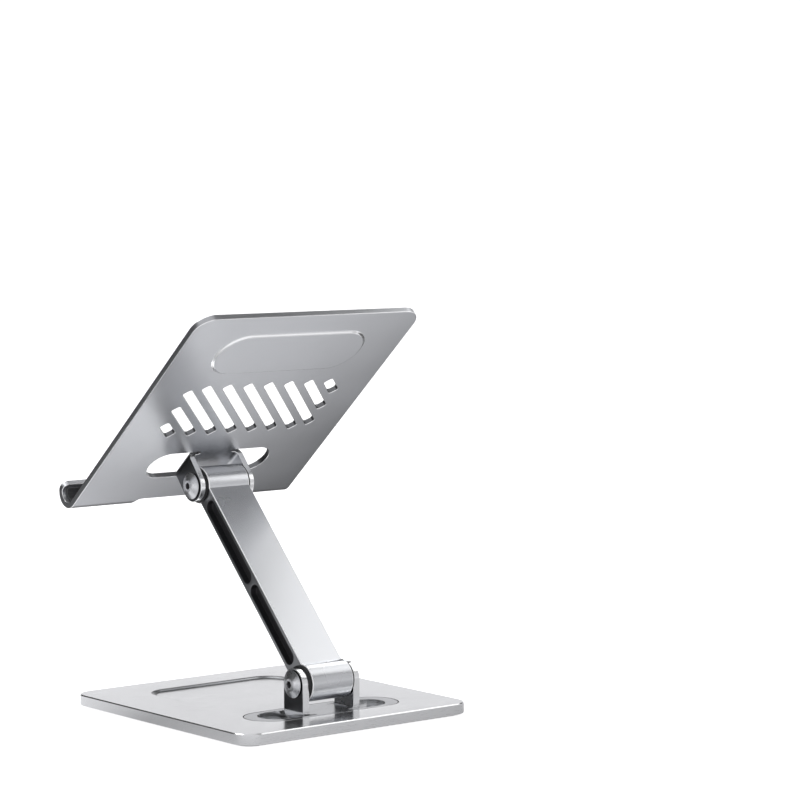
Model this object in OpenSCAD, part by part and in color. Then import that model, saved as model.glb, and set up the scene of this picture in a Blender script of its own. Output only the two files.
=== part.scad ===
// Folding tablet stand: weighted base, hinged arm and a tilting holder plate with two hooks.
// Millimetres, +Z up. Origin on the table under the middle of the base, -Y is the user's side,
// +X is the user's right. Both hinge axes run along X.

/* [Base] */
// Width of the base plate, left to right
base_w = 162; // [150:1:200]
// Depth of the base plate, front to back
base_d = 174; // [165:1:200]
// Height of the top face above the table
base_top = 7.3; // [7:0.1:9]
// Corner radius of the base plate
base_r = 12; // [8:1:20]
// Thickness of the silicone foot pad
foot_t = 0.8; // [0.6:0.1:1]
// Distance of the foot pad inside the plate's edge
foot_in = 3; // [2:0.5:8]
// Depth of the sunken tray in the top face
tray_t = 1.2; // [0.8:0.1:2]

/* [Arm] */
// Distance between the two hinge axes
arm_l = 144.9; // [130:0.1:160]
// Width of the arm
arm_w = 29; // [27:0.5:29]
// Radius of the barrels at both ends
barrel_r = 11; // [10:0.5:11]
// Angle of the arm above the table
arm_angle = 46.3; // [20:0.1:80]

/* [Holder] */
// Width of the holder plate
plate_w = 158; // [150:1:200]
// Top edge of the plate above the tilt axis
plate_top = 140.5; // [135:0.5:170]
// Sheet thickness of the plate, ears and hooks
plate_t = 3.5; // [3:0.1:4]
// Distance from the tilt axis to the plate's rear face
plate_off = 15.7; // [15:0.1:18]
// Angle of the plate above the table
plate_angle = 40.65; // [20:0.05:80]
// Clear gap inside each hook, front to back
hook_gap = 12; // [10:0.5:14]
// Inner end of each hook, from the middle
hook_in = 35; // [25:0.5:45]
// Width of a cooling slot
slot_w = 6; // [4:0.5:7]
// Sideways distance from slot to slot
slot_pitch = 14.65; // [12:0.05:18]

/* [Hinges] */
// Radius of the hinge sleeves
sleeve_r = 5; // [4.5:0.1:5.5]
// Running clearance between sleeve and bush
run_gap = 0.05; // [0.02:0.01:0.1]
// Radius of the pivot screw heads
head_r = 7.8; // [6.5:0.1:8.5]
// Height of the pivot screw heads
head_h = 2.7; // [2:0.1:3.5]

/* [Hidden] */
$fn = 96;
e = 0.01;
pivot_y = 49.65;
pivot_z = 23.9;
tip_y = pivot_y - arm_l * cos(arm_angle);
tip_z = pivot_z + arm_l * sin(arm_angle);
ear_in = 15.8;
brk_t = 4.5;
ear_lo = ear_in + brk_t;
ear_up = ear_in + plate_t;
ear_lo_r = 9;
ear_up_r = 9.5;
cut_r = 11.75;
cut_c = 31.25;
brk_c = 35.8;
brk_r = 15.5;
brk_gap = 0.3;
brk_z = base_top - brk_t;
hook_c = -34;
hook_ri = hook_gap / 2;
hook_ro = hook_ri + plate_t;
hook_z = plate_off + hook_ro;
lip_drop = 1.2;
lip_r = 5;
liner_t = 1.5;
washer_t = 0.5;
shank_r = 2.95;
bush_r = 6.5;
bush_l = 10;
pad_v = 106.9;
pad_c = 36.2;
pad_r = 19.1;
pad_sink = 0.9;
pad_t = 1.7;
slot_slope = 1.057;
slot_mid = 53.75;
slot_lo = 31;
slot_hi = 76.5;
slot_right = 53.4;
slot_left = -56.4;
slot_first = 64.55;
slot_n = 10;
slot_r = 1.6;
screw_r = 1.5;
ring_x = 47.1;

// ---------- shared shapes ----------

// Rounded rectangle, centred
module round_rect(w, d, r) {
    square([w - 2 * r, d], center = true);
    square([w, d - 2 * r], center = true);
    for (x = [-1, 1], y = [-1, 1])
        translate([x * (w / 2 - r), y * (d / 2 - r)]) circle(r);
}

// Long hole outline: two half circles of radius r, centres at +-c
module stadium(c, r) {
    square([2 * c, 2 * r], center = true);
    for (x = [-c, c]) translate([x, 0]) circle(r);
}

// Rounded slab whose upper edge steps in by run over the last rise
module edged_slab(w, d, h, r, run, rise) {
    rotate([90, 0, 90]) linear_extrude(w - 2 * r, center = true)
        edge_profile(d, h, run, rise);
    rotate([90, 0, 0]) linear_extrude(d - 2 * r, center = true)
        edge_profile(w, h, run, rise);
    for (x = [-1, 1], y = [-1, 1])
        translate([x * (w / 2 - r), y * (d / 2 - r), 0]) {
            cylinder(r = r, h = h - rise);
            translate([0, 0, h - rise]) cylinder(r1 = r, r2 = r - run, h = rise);
        }
}

module edge_profile(d, h, run, rise) {
    polygon([[-d / 2, 0], [d / 2, 0], [d / 2, h - rise], [d / 2 - run, h],
             [run - d / 2, h], [-d / 2, h - rise]]);
}

// Long raised boss with sloping sides
module sloped_boss(c, r, run, h) {
    rotate([90, 0, 90]) linear_extrude(2 * c, center = true)
        polygon([[-r, 0], [r, 0], [r - run, h], [run - r, h]]);
    for (x = [-c, c]) translate([x, 0, 0]) cylinder(r1 = r, r2 = r - run, h = h);
}

// Tube along X from x0 to x1
module x_tube(x0, x1, ro, ri) {
    translate([x0, 0, 0]) rotate([0, 90, 0]) difference() {
        cylinder(r = ro, h = x1 - x0);
        if (ri > 0) translate([0, 0, -1]) cylinder(r = ri, h = x1 - x0 + 2);
    }
}

module x_rod(x0, x1, r) {
    translate([x0, 0, 0]) rotate([0, 90, 0]) cylinder(r = r, h = x1 - x0);
}

// Frames of the two hinges
module at_lower() {
    translate([0, pivot_y, pivot_z]) children();
}

module at_arm() {
    translate([0, pivot_y, pivot_z]) rotate([-arm_angle, 0, 0]) children();
}

module at_plate() {
    translate([0, tip_y, tip_z]) rotate([plate_angle, 0, 0]) children();
}

module both_sides() {
    children();
    mirror([1, 0, 0]) children();
}

// ---------- base ----------

module bracket_screw_places() {
    for (x = [-ring_x, ring_x]) translate([x, pivot_y, 0]) children();
    for (y = [-7, 7]) translate([0, pivot_y + y, 0]) children();
}

module base_plate() {
    color([0.74, 0.75, 0.77]) difference() {
        translate([0, 0, foot_t])
            edged_slab(base_w, base_d, base_top - foot_t, base_r, 0.6, 0.6);
        // sunken tray towards the front, with sloping sides
        translate([0, -36.3, base_top - tray_t])
            mirror([0, 0, 1]) translate([0, 0, -tray_t - e])
                edged_slab(96, 54.2, tray_t + e, 15, 1.4, tray_t);
        // pocket for the hinge bracket
        translate([0, pivot_y, brk_z])
            linear_extrude(brk_t + 1) stadium(brk_c, brk_r + brk_gap);
        // countersunk holes for the bracket screws
        bracket_screw_places() {
            cylinder(r = screw_r + 0.1, h = base_top - 1);
            translate([0, 0, foot_t - e])
                cylinder(r1 = 2.9, r2 = screw_r + 0.1, h = 1.3);
        }
    }
}

module base_foot_pad() {
    color([0.3, 0.31, 0.32]) linear_extrude(foot_t)
        round_rect(base_w - 2 * foot_in, base_d - 2 * foot_in, base_r - foot_in);
}

module bracket_ear() {
    translate([ear_in, 0, 0]) rotate([90, 0, 90]) linear_extrude(brk_t) {
        translate([pivot_y - ear_lo_r, brk_z + 6])
            square([2 * ear_lo_r, pivot_z - brk_z - 6]);
        translate([pivot_y, pivot_z]) circle(ear_lo_r);
    }
    // quarter bend from the plate into the ear
    translate([ear_in - 1.5, pivot_y, brk_z + 6]) rotate([90, 0, 0])
        linear_extrude(2 * ear_lo_r, center = true) difference() {
            intersection() {
                circle(6);
                translate([0, -6]) square(6);
            }
            circle(1.5);
        }
}

module bracket_cut() {
    translate([0, pivot_y, brk_z - 1]) linear_extrude(brk_t + 2) {
        translate([cut_c, 0]) circle(cut_r);
        translate([ear_in - 1.5, -cut_r])
            square([cut_c - ear_in + 1.5, 2 * cut_r]);
        for (y = [-1, 1]) translate([ear_in - 2.2, y * (cut_r - 1.35)]) circle(1.35);
    }
}

module hinge_bracket() {
    color([0.78, 0.79, 0.81]) difference() {
        union() {
            difference() {
                translate([0, pivot_y, brk_z]) linear_extrude(brk_t)
                    stadium(brk_c, brk_r);
                both_sides() bracket_cut();
            }
            both_sides() bracket_ear();
        }
        at_lower() x_rod(-30, 30, shank_r + 0.1);
        bracket_screw_places()
            translate([0, 0, brk_z - 1]) cylinder(r = screw_r + 0.03, h = 4.7);
    }
}

module bracket_screws() {
    color([0.45, 0.46, 0.48]) bracket_screw_places() difference() {
        union() {
            translate([0, 0, foot_t + 0.05]) cylinder(r1 = 2.7, r2 = screw_r, h = 1.2);
            translate([0, 0, foot_t + 0.05]) cylinder(r = screw_r, h = 5.4);
        }
        translate([0, 0, foot_t]) cylinder(r = 1.15, h = 1.1, $fn = 6);
    }
}

// ---------- hinge hardware, written once and used at both hinges ----------

module pivot_sleeve() {
    difference() {
        x_rod(-ear_in, ear_in, sleeve_r);
        both_sides() x_rod(ear_in - 13, ear_in + 1, shank_r + 0.02);
    }
}

module pivot_screw(out) {
    seat = out + washer_t;
    difference() {
        union() {
            x_rod(ear_in - 11, seat + e, shank_r);
            x_rod(seat, seat + 0.5, head_r);
            translate([seat + 0.5, 0, 0]) rotate([0, 90, 0])
                cylinder(r1 = head_r, r2 = head_r - 4.6, h = head_h - 0.5);
        }
        translate([seat + head_h - 1.8, 0, 0]) rotate([0, 90, 0])
            cylinder(r = 2, h = 3, $fn = 6);
    }
}

module spring_washer(out) {
    x_tube(out, out + washer_t, head_r - 2, shank_r + 0.1);
}

module friction_washer(r) {
    x_tube(arm_w / 2 + run_gap, ear_in, r, sleeve_r + run_gap);
}

module hinge_bushes() {
    both_sides() x_tube(arm_w / 2 - bush_l, arm_w / 2, bush_r, sleeve_r + run_gap);
}

module lower_pivot_sleeve() {
    color([0.6, 0.6, 0.62]) at_lower() pivot_sleeve();
}

module lower_pivot_screws() {
    color([0.5, 0.51, 0.53]) at_lower() both_sides() pivot_screw(ear_lo);
}

module lower_spring_washers() {
    color([0.35, 0.36, 0.38]) at_lower() both_sides() spring_washer(ear_lo);
}

module lower_friction_washers() {
    color([0.06, 0.06, 0.07]) at_lower() both_sides() friction_washer(10.2);
}

module upper_pivot_sleeve() {
    color([0.6, 0.6, 0.62]) at_plate() pivot_sleeve();
}

module upper_pivot_screws() {
    color([0.5, 0.51, 0.53]) at_plate() both_sides() pivot_screw(ear_up);
}

module upper_spring_washers() {
    color([0.35, 0.36, 0.38]) at_plate() both_sides() spring_washer(ear_up);
}

module upper_friction_washers() {
    color([0.06, 0.06, 0.07]) at_plate() both_sides() friction_washer(10.2);
}

// ---------- arm ----------

// Channel along one side of the arm between a and b, with round ends
module side_channel(a, b) {
    translate([arm_w / 2 - 4, 0, 0]) rotate([90, 0, 90]) linear_extrude(5) {
        translate([-(a + b) / 2, 0.7]) round_rect(b - a, 8.4, 4.1);
    }
}

// Pocket in the underside between a and b
module under_pocket(a, b) {
    translate([0, -(a + b) / 2, -7]) linear_extrude(11.6) round_rect(17.5, b - a, 3);
}

// Slanting rib across an underside pocket, from (x0, a) to (x1, b)
module rib(x0, a, x1, b) {
    len = sqrt((x1 - x0) * (x1 - x0) + (b - a) * (b - a));
    translate([x0, -a, -4.6]) rotate([0, 0, atan2(a - b, x1 - x0)])
        translate([0, -0.9, 0]) cube([len, 1.8, 9.7]);
}

module arm() {
    mid = arm_l / 2 - 2;
    color([0.76, 0.77, 0.79]) at_arm() difference() {
        union() {
            difference() {
                translate([-arm_w / 2, -arm_l, -6]) cube([arm_w, arm_l, 13.5]);
                both_sides() {
                    side_channel(13.5, mid - 1.6);
                    side_channel(mid + 1.6, arm_l - 13.5);
                }
                under_pocket(16, mid - 3);
                under_pocket(mid + 3, arm_l - 16);
            }
            // forked ribs that stiffen the pockets
            rib(0, 15.5, 0, 40);
            rib(0, 39.5, 9, mid - 4);
            rib(0, 39.5, -9, mid - 4);
            rib(0, arm_l - 15.5, 0, arm_l - 40);
            rib(0, arm_l - 39.5, 9, mid + 4);
            rib(0, arm_l - 39.5, -9, mid + 4);
            x_rod(-arm_w / 2, arm_w / 2, barrel_r);
            translate([0, -arm_l, 0]) x_rod(-arm_w / 2, arm_w / 2, barrel_r);
        }
        x_rod(-30, 30, bush_r);
        translate([0, -arm_l, 0]) x_rod(-30, 30, bush_r);
    }
}

module lower_bushes() {
    color([0.72, 0.6, 0.35]) at_lower() hinge_bushes();
}

module upper_bushes() {
    color([0.72, 0.6, 0.35]) at_plate() hinge_bushes();
}

// ---------- holder ----------

module plate_outline() {
    translate([0, (plate_top + hook_c) / 2]) {
        translate([0, -6]) square([plate_w, plate_top - hook_c - 12], center = true);
        square([plate_w - 24, plate_top - hook_c], center = true);
    }
    for (x = [-1, 1]) translate([x * (plate_w / 2 - 12), plate_top - 12]) circle(12);
}

// One cooling slot: the part of its slanting line inside the slot field
module cooling_slot(u0) {
    v0 = max(slot_lo, slot_mid + (slot_left - u0) * slot_slope);
    v1 = min(slot_hi, slot_mid + (slot_right - u0) * slot_slope);
    a = [u0 + (v0 - slot_mid) / slot_slope, v0];
    b = [u0 + (v1 - slot_mid) / slot_slope, v1];
    translate((a + b) / 2) rotate(atan(slot_slope))
        slot_shape(norm(b - a), slot_w, slot_r);
}

// Slot outline: a rectangle with stepped round corners
module slot_shape(w, d, r) {
    polygon([for (k = [0:3], i = [0:4])
        let (a = k * 90 + i * 22.5, sx = (k == 0 || k == 3) ? 1 : -1, sy = k < 2 ? 1 : -1)
            [sx * (w / 2 - r) + r * cos(a), sy * (d / 2 - r) + r * sin(a)]]);
}

module plate_cut() {
    translate([cut_c, 0]) circle(cut_r);
    translate([ear_in - 2.4, -cut_r]) square([cut_c - ear_in + 2.4, 2 * cut_r]);
    for (y = [-1, 1]) translate([ear_in - 2.8, y * (cut_r - 1.35)]) circle(1.35);
}

module plate_ear() {
    bend_z = plate_off - 2.4;
    translate([ear_in, 0, 0]) rotate([90, 0, 90]) linear_extrude(plate_t) {
        translate([-ear_up_r, 0]) square([2 * ear_up_r, bend_z]);
        circle(ear_up_r);
    }
    // quarter bend from the plate into the ear
    translate([ear_in - 2.4, 0, bend_z]) rotate([90, 0, 0])
        linear_extrude(2 * ear_up_r, center = true) difference() {
            intersection() {
                circle(2.4 + plate_t);
                square(2.4 + plate_t);
            }
            circle(2.4);
        }
}

// Hook along X: the sheet rolls forward and up to a lip that ends drop below the roll's axis
module hook(x0, x1, ro, ri, drop) {
    // drawn with x up the plate and y away from the plate
    translate([x0, hook_c, hook_z]) rotate([90, 0, 90])
        linear_extrude(x1 - x0) difference() {
            circle(ro);
            circle(ri);
            translate([0, -ro - 1]) square([ro + 1, 2 * ro + 2]);
            translate([-drop, 0]) square(ro + 1);
        }
}

module holder_panel() {
    lip = plate_w / 2 - hook_in;
    color([0.76, 0.77, 0.79]) at_plate() difference() {
        union() {
            difference() {
                translate([0, 0, plate_off]) linear_extrude(plate_t) difference() {
                    plate_outline();
                    for (i = [0:slot_n - 1]) cooling_slot(slot_first - i * slot_pitch);
                    both_sides() plate_cut();
                }
                // shallow seat for the front pad
                translate([0, pad_v, plate_off + plate_t - pad_sink])
                    linear_extrude(plate_t) stadium(pad_c, pad_r + 0.3);
            }
            // the seat shows as a raised boss behind
            translate([0, pad_v, plate_off + 0.5]) mirror([0, 0, 1])
                sloped_boss(34.4, 18.25, 1.95, 1.5);
            both_sides() plate_ear();
            both_sides() difference() {
                hook(hook_in, plate_w / 2, hook_ro, hook_ri, lip_drop);
                // rounded corners of the lip
                for (x = [0, 1]) translate([hook_in + x * lip, hook_c, hook_z])
                    mirror([x, 0, 0]) lip_corner();
            }
        }
        x_rod(-30, 30, shank_r + 0.1);
    }
}

// Waste cut off the outer corner of a lip, at x = 0 towards +x
module lip_corner() {
    linear_extrude(hook_ro + 5) difference() {
        translate([-1, -lip_drop - lip_r]) square([lip_r + 1, lip_r + 1]);
        translate([lip_r, -lip_drop - lip_r]) circle(lip_r);
    }
}

module front_pad() {
    color([0.42, 0.43, 0.44]) at_plate()
        translate([0, pad_v, plate_off + plate_t - pad_sink])
            linear_extrude(pad_t) stadium(pad_c, pad_r);
}

module hook_pad() {
    at_plate() {
        hook(hook_in + 3, plate_w / 2 - 3, hook_ri, hook_ri - liner_t, lip_drop + 1.2);
        translate([hook_in + 3, hook_c - e, plate_off + plate_t])
            cube([plate_w / 2 - hook_in - 6, 6 + e, liner_t]);
    }
}

module hook_pad_left() {
    color([0.16, 0.16, 0.17]) mirror([1, 0, 0]) hook_pad();
}

module hook_pad_right() {
    color([0.16, 0.16, 0.17]) hook_pad();
}

// ---------- assembly ----------

base_plate();
base_foot_pad();
hinge_bracket();
bracket_screws();
lower_pivot_sleeve();
lower_pivot_screws();
lower_spring_washers();
lower_friction_washers();
arm();
lower_bushes();
upper_bushes();
holder_panel();
front_pad();
hook_pad_left();
hook_pad_right();
upper_pivot_sleeve();
upper_pivot_screws();
upper_spring_washers();
upper_friction_washers();
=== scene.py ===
import math

import bpy
import bmesh
from mathutils import Matrix, Vector, geometry


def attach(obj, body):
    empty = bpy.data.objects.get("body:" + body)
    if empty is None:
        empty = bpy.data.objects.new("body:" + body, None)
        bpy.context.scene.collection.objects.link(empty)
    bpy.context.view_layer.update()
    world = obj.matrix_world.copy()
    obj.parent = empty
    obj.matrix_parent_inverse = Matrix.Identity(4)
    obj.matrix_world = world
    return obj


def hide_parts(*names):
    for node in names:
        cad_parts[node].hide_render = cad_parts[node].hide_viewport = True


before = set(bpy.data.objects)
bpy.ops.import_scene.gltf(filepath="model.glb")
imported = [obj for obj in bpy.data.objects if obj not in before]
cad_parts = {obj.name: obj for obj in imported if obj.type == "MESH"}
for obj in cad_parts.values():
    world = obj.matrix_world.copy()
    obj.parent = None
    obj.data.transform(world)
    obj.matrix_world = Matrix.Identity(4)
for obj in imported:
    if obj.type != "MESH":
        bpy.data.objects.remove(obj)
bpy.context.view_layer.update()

# ---------------------------------------------------------------- sizes, in millimetres
# The last letter says which size it is: W width, D depth, H height, L length, T thickness, R radius, and C
# how far from the middle a round end has its centre.

# base plate, foot pad and the sunken tray
BASE_W, BASE_D, BASE_TOP, BASE_R = 162, 174, 7.3, 12
FOOT_T, FOOT_IN = 0.8, 3
TRAY_W, TRAY_D, TRAY_R, TRAY_Y = 96, 54.2, 15, -36.3
TRAY_T, TRAY_RUN = 1.2, 3.4

# the two hinge axes, and the frames of what turns on them
LOWER_AXIS = Vector((0, 49.65, 23.9))
ARM_L = 144.9
ARM_ANGLE = math.radians(46.3)
PLATE_ANGLE = math.radians(40.65)
UPPER_AXIS = LOWER_AXIS + Vector((0, -ARM_L * math.cos(ARM_ANGLE), ARM_L * math.sin(ARM_ANGLE)))
ROW = Matrix.Identity(4)
LOWER = Matrix.Translation(LOWER_AXIS)
ARM = Matrix.Translation(LOWER_AXIS) @ Matrix.Rotation(-ARM_ANGLE, 4, "X")
PLATE = Matrix.Translation(UPPER_AXIS) @ Matrix.Rotation(PLATE_ANGLE, 4, "X")
ALONG_X = Matrix.Rotation(math.radians(90), 4, "Y") @ Matrix.Rotation(math.radians(90), 4, "Z")

# hinge bracket: a stadium-shaped blank with two tabs that are bent up into ears, EAR_IN from the middle
BRACKET_T, BRACKET_C, BRACKET_R, BRACKET_GAP = 4.5, 35.8, 15.5, 0.3
BRACKET_Z = BASE_TOP - BRACKET_T
BRACKET_BEND_R = 1.5
EAR_IN = 15.8
LOWER_TAB_R, LOWER_TAB_C, LOWER_CUT_IN = 9.0, 32.6, 13.0
CUT_R, CUT_C = 11.75, 31.25

# hinge hardware, the same at both hinges
SHANK_R, PIN_R = 2.95, 3.05
HEAD_R, HEAD_H, CROWN_R = 7.8, 2.7, 3.2
SOCKET_R, SOCKET_DEPTH = 2.0, 1.7
WASHER_T, SPRING_R, FRICTION_R = 0.5, 5.8, 10.2
SLEEVE_R, RUN_GAP = 5.0, 0.05
BUSH_R, BUSH_L = 6.5, 10

# arm: its back face and its underside are so far from the line between the two axes, and side channels and
# pockets in the underside leave a web in the middle of its length
ARM_HALF_W, BARREL_R = 14.5, 11
ARM_BACK, ARM_UNDER = 7.5, 6
ARM_MID = ARM_L / 2 - 2
CHANNEL_D, CHANNEL_R, CHANNEL_Y, CHANNEL_DEEP = 8.4, 4.1, 0.7, 4
CHANNEL_END, CHANNEL_WEB = 13.5, 1.6
POCKET_HALF_W, POCKET_R, POCKET_ROOT, POCKET_FORK, POCKET_WEB = 8.75, 1.6, 16, 39.5, 3
RIB_HALF_T = 0.9

# holder plate: drawn flat, V up the plate from the tilt axis, and its rear face PLATE_OFF from that axis
PLATE_W, PLATE_TOP, PLATE_T, PLATE_OFF, PLATE_R = 158, 140.5, 3.5, 15.7, 12
PLATE_BEND_R, PLATE_EDGE_R = 2.4, 0.32
UPPER_TAB_R, UPPER_TAB_C, UPPER_CUT_IN = 9.5, 33.22, 12.6
HOOK_IN, HOOK_V, HOOK_INNER_R = 35, -34, 6.0
HOOK_OUTER_R = HOOK_INNER_R + PLATE_T
HOOK_MID_R = HOOK_INNER_R + PLATE_T / 2
HOOK_TURN = math.radians(171)

# cooling slots: slanting lines of one slope and pitch, cut off by the sides of the slot field
SLOT_SLOPE, SLOT_MID, SLOT_LOW, SLOT_HIGH = 1.057, 53.75, 31, 76.5
SLOT_LEFT, SLOT_RIGHT, SLOT_FIRST, SLOT_PITCH = -56.4, 53.4, 64.55, 14.65
SLOT_N, SLOT_W, SLOT_R = 10, 6, 1.6

# front pad, the boss behind it, and the liners of the hooks
PAD_V, PAD_C, PAD_R, PAD_SINK, PAD_T = 106.9, 36.2, 19.1, 0.9, 1.7
BOSS_C, BOSS_R, BOSS_RUN, BOSS_H = 34.4, 17.9, 1.6, 1.0
LINER_T, LINER_IN, LINER_RUN, LIP_DROP, LIP_R = 1.5, 3, 6, 2.4, 5.25


# ---------------------------------------------------------------- outlines (anticlockwise)
def arc(cx, cy, r, a0, a1, n):
    """Points on an arc from angle a0 to a1, in degrees."""
    return [(cx + r * math.cos(math.radians(a0 + (a1 - a0) * i / n)),
             cy + r * math.sin(math.radians(a0 + (a1 - a0) * i / n))) for i in range(n + 1)]


def round_rect(w, d, r, cx=0.0, cy=0.0, n=12):
    x, y = w / 2 - r, d / 2 - r
    return (arc(cx + x, cy + y, r, 0, 90, n) + arc(cx - x, cy + y, r, 90, 180, n)
            + arc(cx - x, cy - y, r, 180, 270, n) + arc(cx + x, cy - y, r, 270, 360, n))


def stadium(c, r, cy=0.0, n=28):
    """Two half circles of radius r with centres at +-c."""
    return arc(c, cy, r, -90, 90, n) + arc(-c, cy, r, 90, 270, n)


def circle(r, cx=0.0, cy=0.0, n=48):
    return arc(cx, cy, r, 0, 360, n)[:-1]


def turned_outline(loop, angle, cx, cy):
    """The outline turned by an angle and moved to (cx, cy)."""
    c, s = math.cos(angle), math.sin(angle)
    return [(cx + x * c - y * s, cy + x * s + y * c) for x, y in loop]


def tab_hole(cut_in, tab_r, tab_c):
    """The opening round a bent tab on the right: the cut-out's own outline with the tab's left standing."""
    gap = (CUT_R - tab_r) / 2
    mid = tab_r + gap
    return (arc(cut_in, -mid, gap, 90, 270, 10)
            + arc(CUT_C, 0, CUT_R, -90, 90, 40)
            + arc(cut_in, mid, gap, 90, 270, 10)
            + arc(tab_c, 0, tab_r, 90, -90, 36))


def mirrored(loop):
    return [(-x, y) for x, y in reversed(loop)]


def clockwise(loop):
    return list(reversed(loop))


def signed_area(loop):
    """Twice the outline's area, positive when it runs anticlockwise."""
    return sum(a[0] * b[1] - b[0] * a[1] for a, b in zip(loop, loop[1:] + loop[:1]))


def inset(loop, t):
    """Moves an outline towards the material: inwards for an outer one, outwards for a clockwise hole."""
    if abs(t) < 1e-9:
        return list(loop)
    out, n = [], len(loop)
    for i in range(n):
        a, b, c = Vector(loop[i - 1]), Vector(loop[i]), Vector(loop[(i + 1) % n])
        e, f = b - a, c - b
        e = e.normalized() if e.length > 1e-7 else f.normalized()
        f = f.normalized() if f.length > 1e-7 else e
        m = Vector((e.y + f.y, -(e.x + f.x)))
        m = m.normalized() if m.length > 1e-7 else Vector((e.y, -e.x))
        k = max(0.4, m.dot(Vector((e.y, -e.x))))
        out.append(tuple(b - m * (t / k)))
    return out


def clean(loop):
    """The outline without points that fall on the one before."""
    out = []
    for p in loop:
        if not out or (Vector(p) - Vector(out[-1])).length > 1e-4:
            out.append(p)
    if (Vector(out[0]) - Vector(out[-1])).length <= 1e-4:
        out.pop()
    return out


def rounded_polygon(points, r, n=5):
    """The polygon, anticlockwise, with its corners rounded as far as its sides allow."""
    if signed_area(points) < 0:
        points = clockwise(points)
    out, m = [], len(points)
    for i in range(m):
        a, b, c = Vector(points[i - 1]), Vector(points[i]), Vector(points[(i + 1) % m])
        u, v = (a - b).normalized(), (c - b).normalized()
        half = math.acos(max(-1, min(1, u.dot(v)))) / 2
        d = min(r / math.tan(half), (a - b).length * 0.45, (c - b).length * 0.45)
        fit_r = d * math.tan(half)
        centre = b + (u + v).normalized() * (fit_r / math.sin(half))
        p, q = b + u * d, b + v * d
        a0 = math.atan2(p.y - centre.y, p.x - centre.x)
        a1 = math.atan2(q.y - centre.y, q.x - centre.x)
        while a1 < a0:
            a1 += 2 * math.pi
        out += [(centre.x + fit_r * math.cos(a0 + (a1 - a0) * k / n),
                 centre.y + fit_r * math.sin(a0 + (a1 - a0) * k / n)) for k in range(n + 1)]
    return out


# ---------------------------------------------------------------- mesh building
def is_inside(p, walls):
    """Whether a level ray from the point crosses an odd number of walls."""
    crossed = False
    for x0, y0, x1, y1 in walls:
        if (y0 > p.y) != (y1 > p.y) and p.x < x0 + (p.y - y0) / (y1 - y0) * (x1 - x0):
            crossed = not crossed
    return crossed


class Skin:
    """A closed shell made of rings of points, strips between rings, and caps that fill between rings."""

    def __init__(self):
        self.bm = bmesh.new()

    def ring(self, loop, z):
        return [self.bm.verts.new((x, y, z)) for x, y in loop]

    def strip(self, a, b, mat=0):
        for i in range(len(a)):
            j = (i + 1) % len(a)
            f = self.bm.faces.new((a[i], a[j], b[j], b[i]))
            f.material_index = mat

    def rise(self, loop, steps, mat=0):
        """Rings of the outline at each (inset, height); returns the first and last ring."""
        rings = [self.ring(inset(loop, t), z) for t, z in steps]
        for a, b in zip(rings, rings[1:]):
            self.strip(a, b, mat)
        return rings[0], rings[-1]

    def cap(self, rings, mat=0):
        """Fills the flat space that lies inside an odd number of the rings."""
        verts, edges = [], []
        for r in rings:
            k = len(verts)
            verts += r
            edges += [(k + i, k + (i + 1) % len(r)) for i in range(len(r))]
        flat = [v.co.to_2d() for v in verts]
        points, _, faces, origins, _, _ = geometry.delaunay_2d_cdt(flat, edges, [], 0, 1e-6)
        walls = [(*flat[i], *flat[j]) for i, j in edges]
        for face in faces:
            mid = sum((points[i] for i in face), Vector((0, 0))) / len(face)
            if is_inside(mid, walls):
                self.bm.faces.new([verts[origins[i][0]] for i in face]).material_index = mat

    def done(self):
        bmesh.ops.remove_doubles(self.bm, verts=self.bm.verts, dist=1e-5)
        bmesh.ops.recalc_face_normals(self.bm, faces=self.bm.faces)
        return self.bm


def edge_steps(z0, z1, low, high, n=3):
    """(inset, height) up a wall from z0 to z1 with rounded edges of radius low and high."""
    q = [i * math.pi / 2 / n for i in range(n + 1)]
    up = [(low * (1 - math.sin(a)), z0 + low * (1 - math.cos(a))) for a in q]
    top = [(high * (1 - math.cos(a)), z1 - high * (1 - math.sin(a))) for a in q]
    return up, top


def smooth_steps(width, depth, z, n=7):
    """A soft S-shaped step for a clockwise outline: in by width, and down by depth from z."""
    out = []
    for i in range(n + 1):
        t = i / n
        out.append((-width * t, z - depth * t * t * (3 - 2 * t)))
    return out


def prism(outer, holes, z0, z1, low=0.3, high=0.3, n=3, edge_mat=0, wall_mat=0):
    """A plate with holes and rounded edges."""
    s = Skin()
    lows, highs = [], []
    for loop in [outer] + [clockwise(h) for h in holes]:
        loop = clean(loop)
        up, top = edge_steps(z0, z1, low, high, n)
        a0, a1 = s.rise(loop, up, edge_mat)
        b0, b1 = s.rise(loop, top, edge_mat)
        s.strip(a1, b0, wall_mat)
        lows.append(a0)
        highs.append(b1)
    s.cap(lows)
    s.cap(highs)
    return s.done()


def turned_with_socket(profile, socket_r, depth, n=96, lip_w=0.25):
    """A piece turned about z: profile is (radius, height), up to a flat top with a hex socket in it."""
    s = Skin()
    rings = [s.ring(circle(r, n=n), z) for r, z in profile]
    for a, b in zip(rings, rings[1:]):
        s.strip(a, b)
    s.cap([rings[0]])
    top = profile[-1][1]
    # The socket's walls and floor take the second material: painted shade.
    hexagon = clockwise(circle(socket_r, n=6))
    mouth, lip = s.rise(hexagon, [(lip_w, top), (0, top - lip_w)], 1)
    floor = s.ring(hexagon, top - depth)
    s.strip(lip, floor, 1)
    s.cap([floor], 1)
    s.cap([rings[-1], mouth])
    return s.done()


def tube(ro, ri, z0, z1, edge=0.2, n=64):
    return prism(circle(ro, n=n), [circle(ri, n=n)], z0, z1, edge, edge, 2)


def merged(first, second):
    mesh = bpy.data.meshes.new("part")
    second.to_mesh(mesh)
    second.free()
    first.from_mesh(mesh)
    bpy.data.meshes.remove(mesh)
    return first


def both_ends(make, *args):
    """A piece along +z and its mirror image along -z."""
    bm = make(*args)
    other = bm.copy()
    other.transform(Matrix.Rotation(math.pi, 4, "X"))
    return merged(bm, other)


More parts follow.
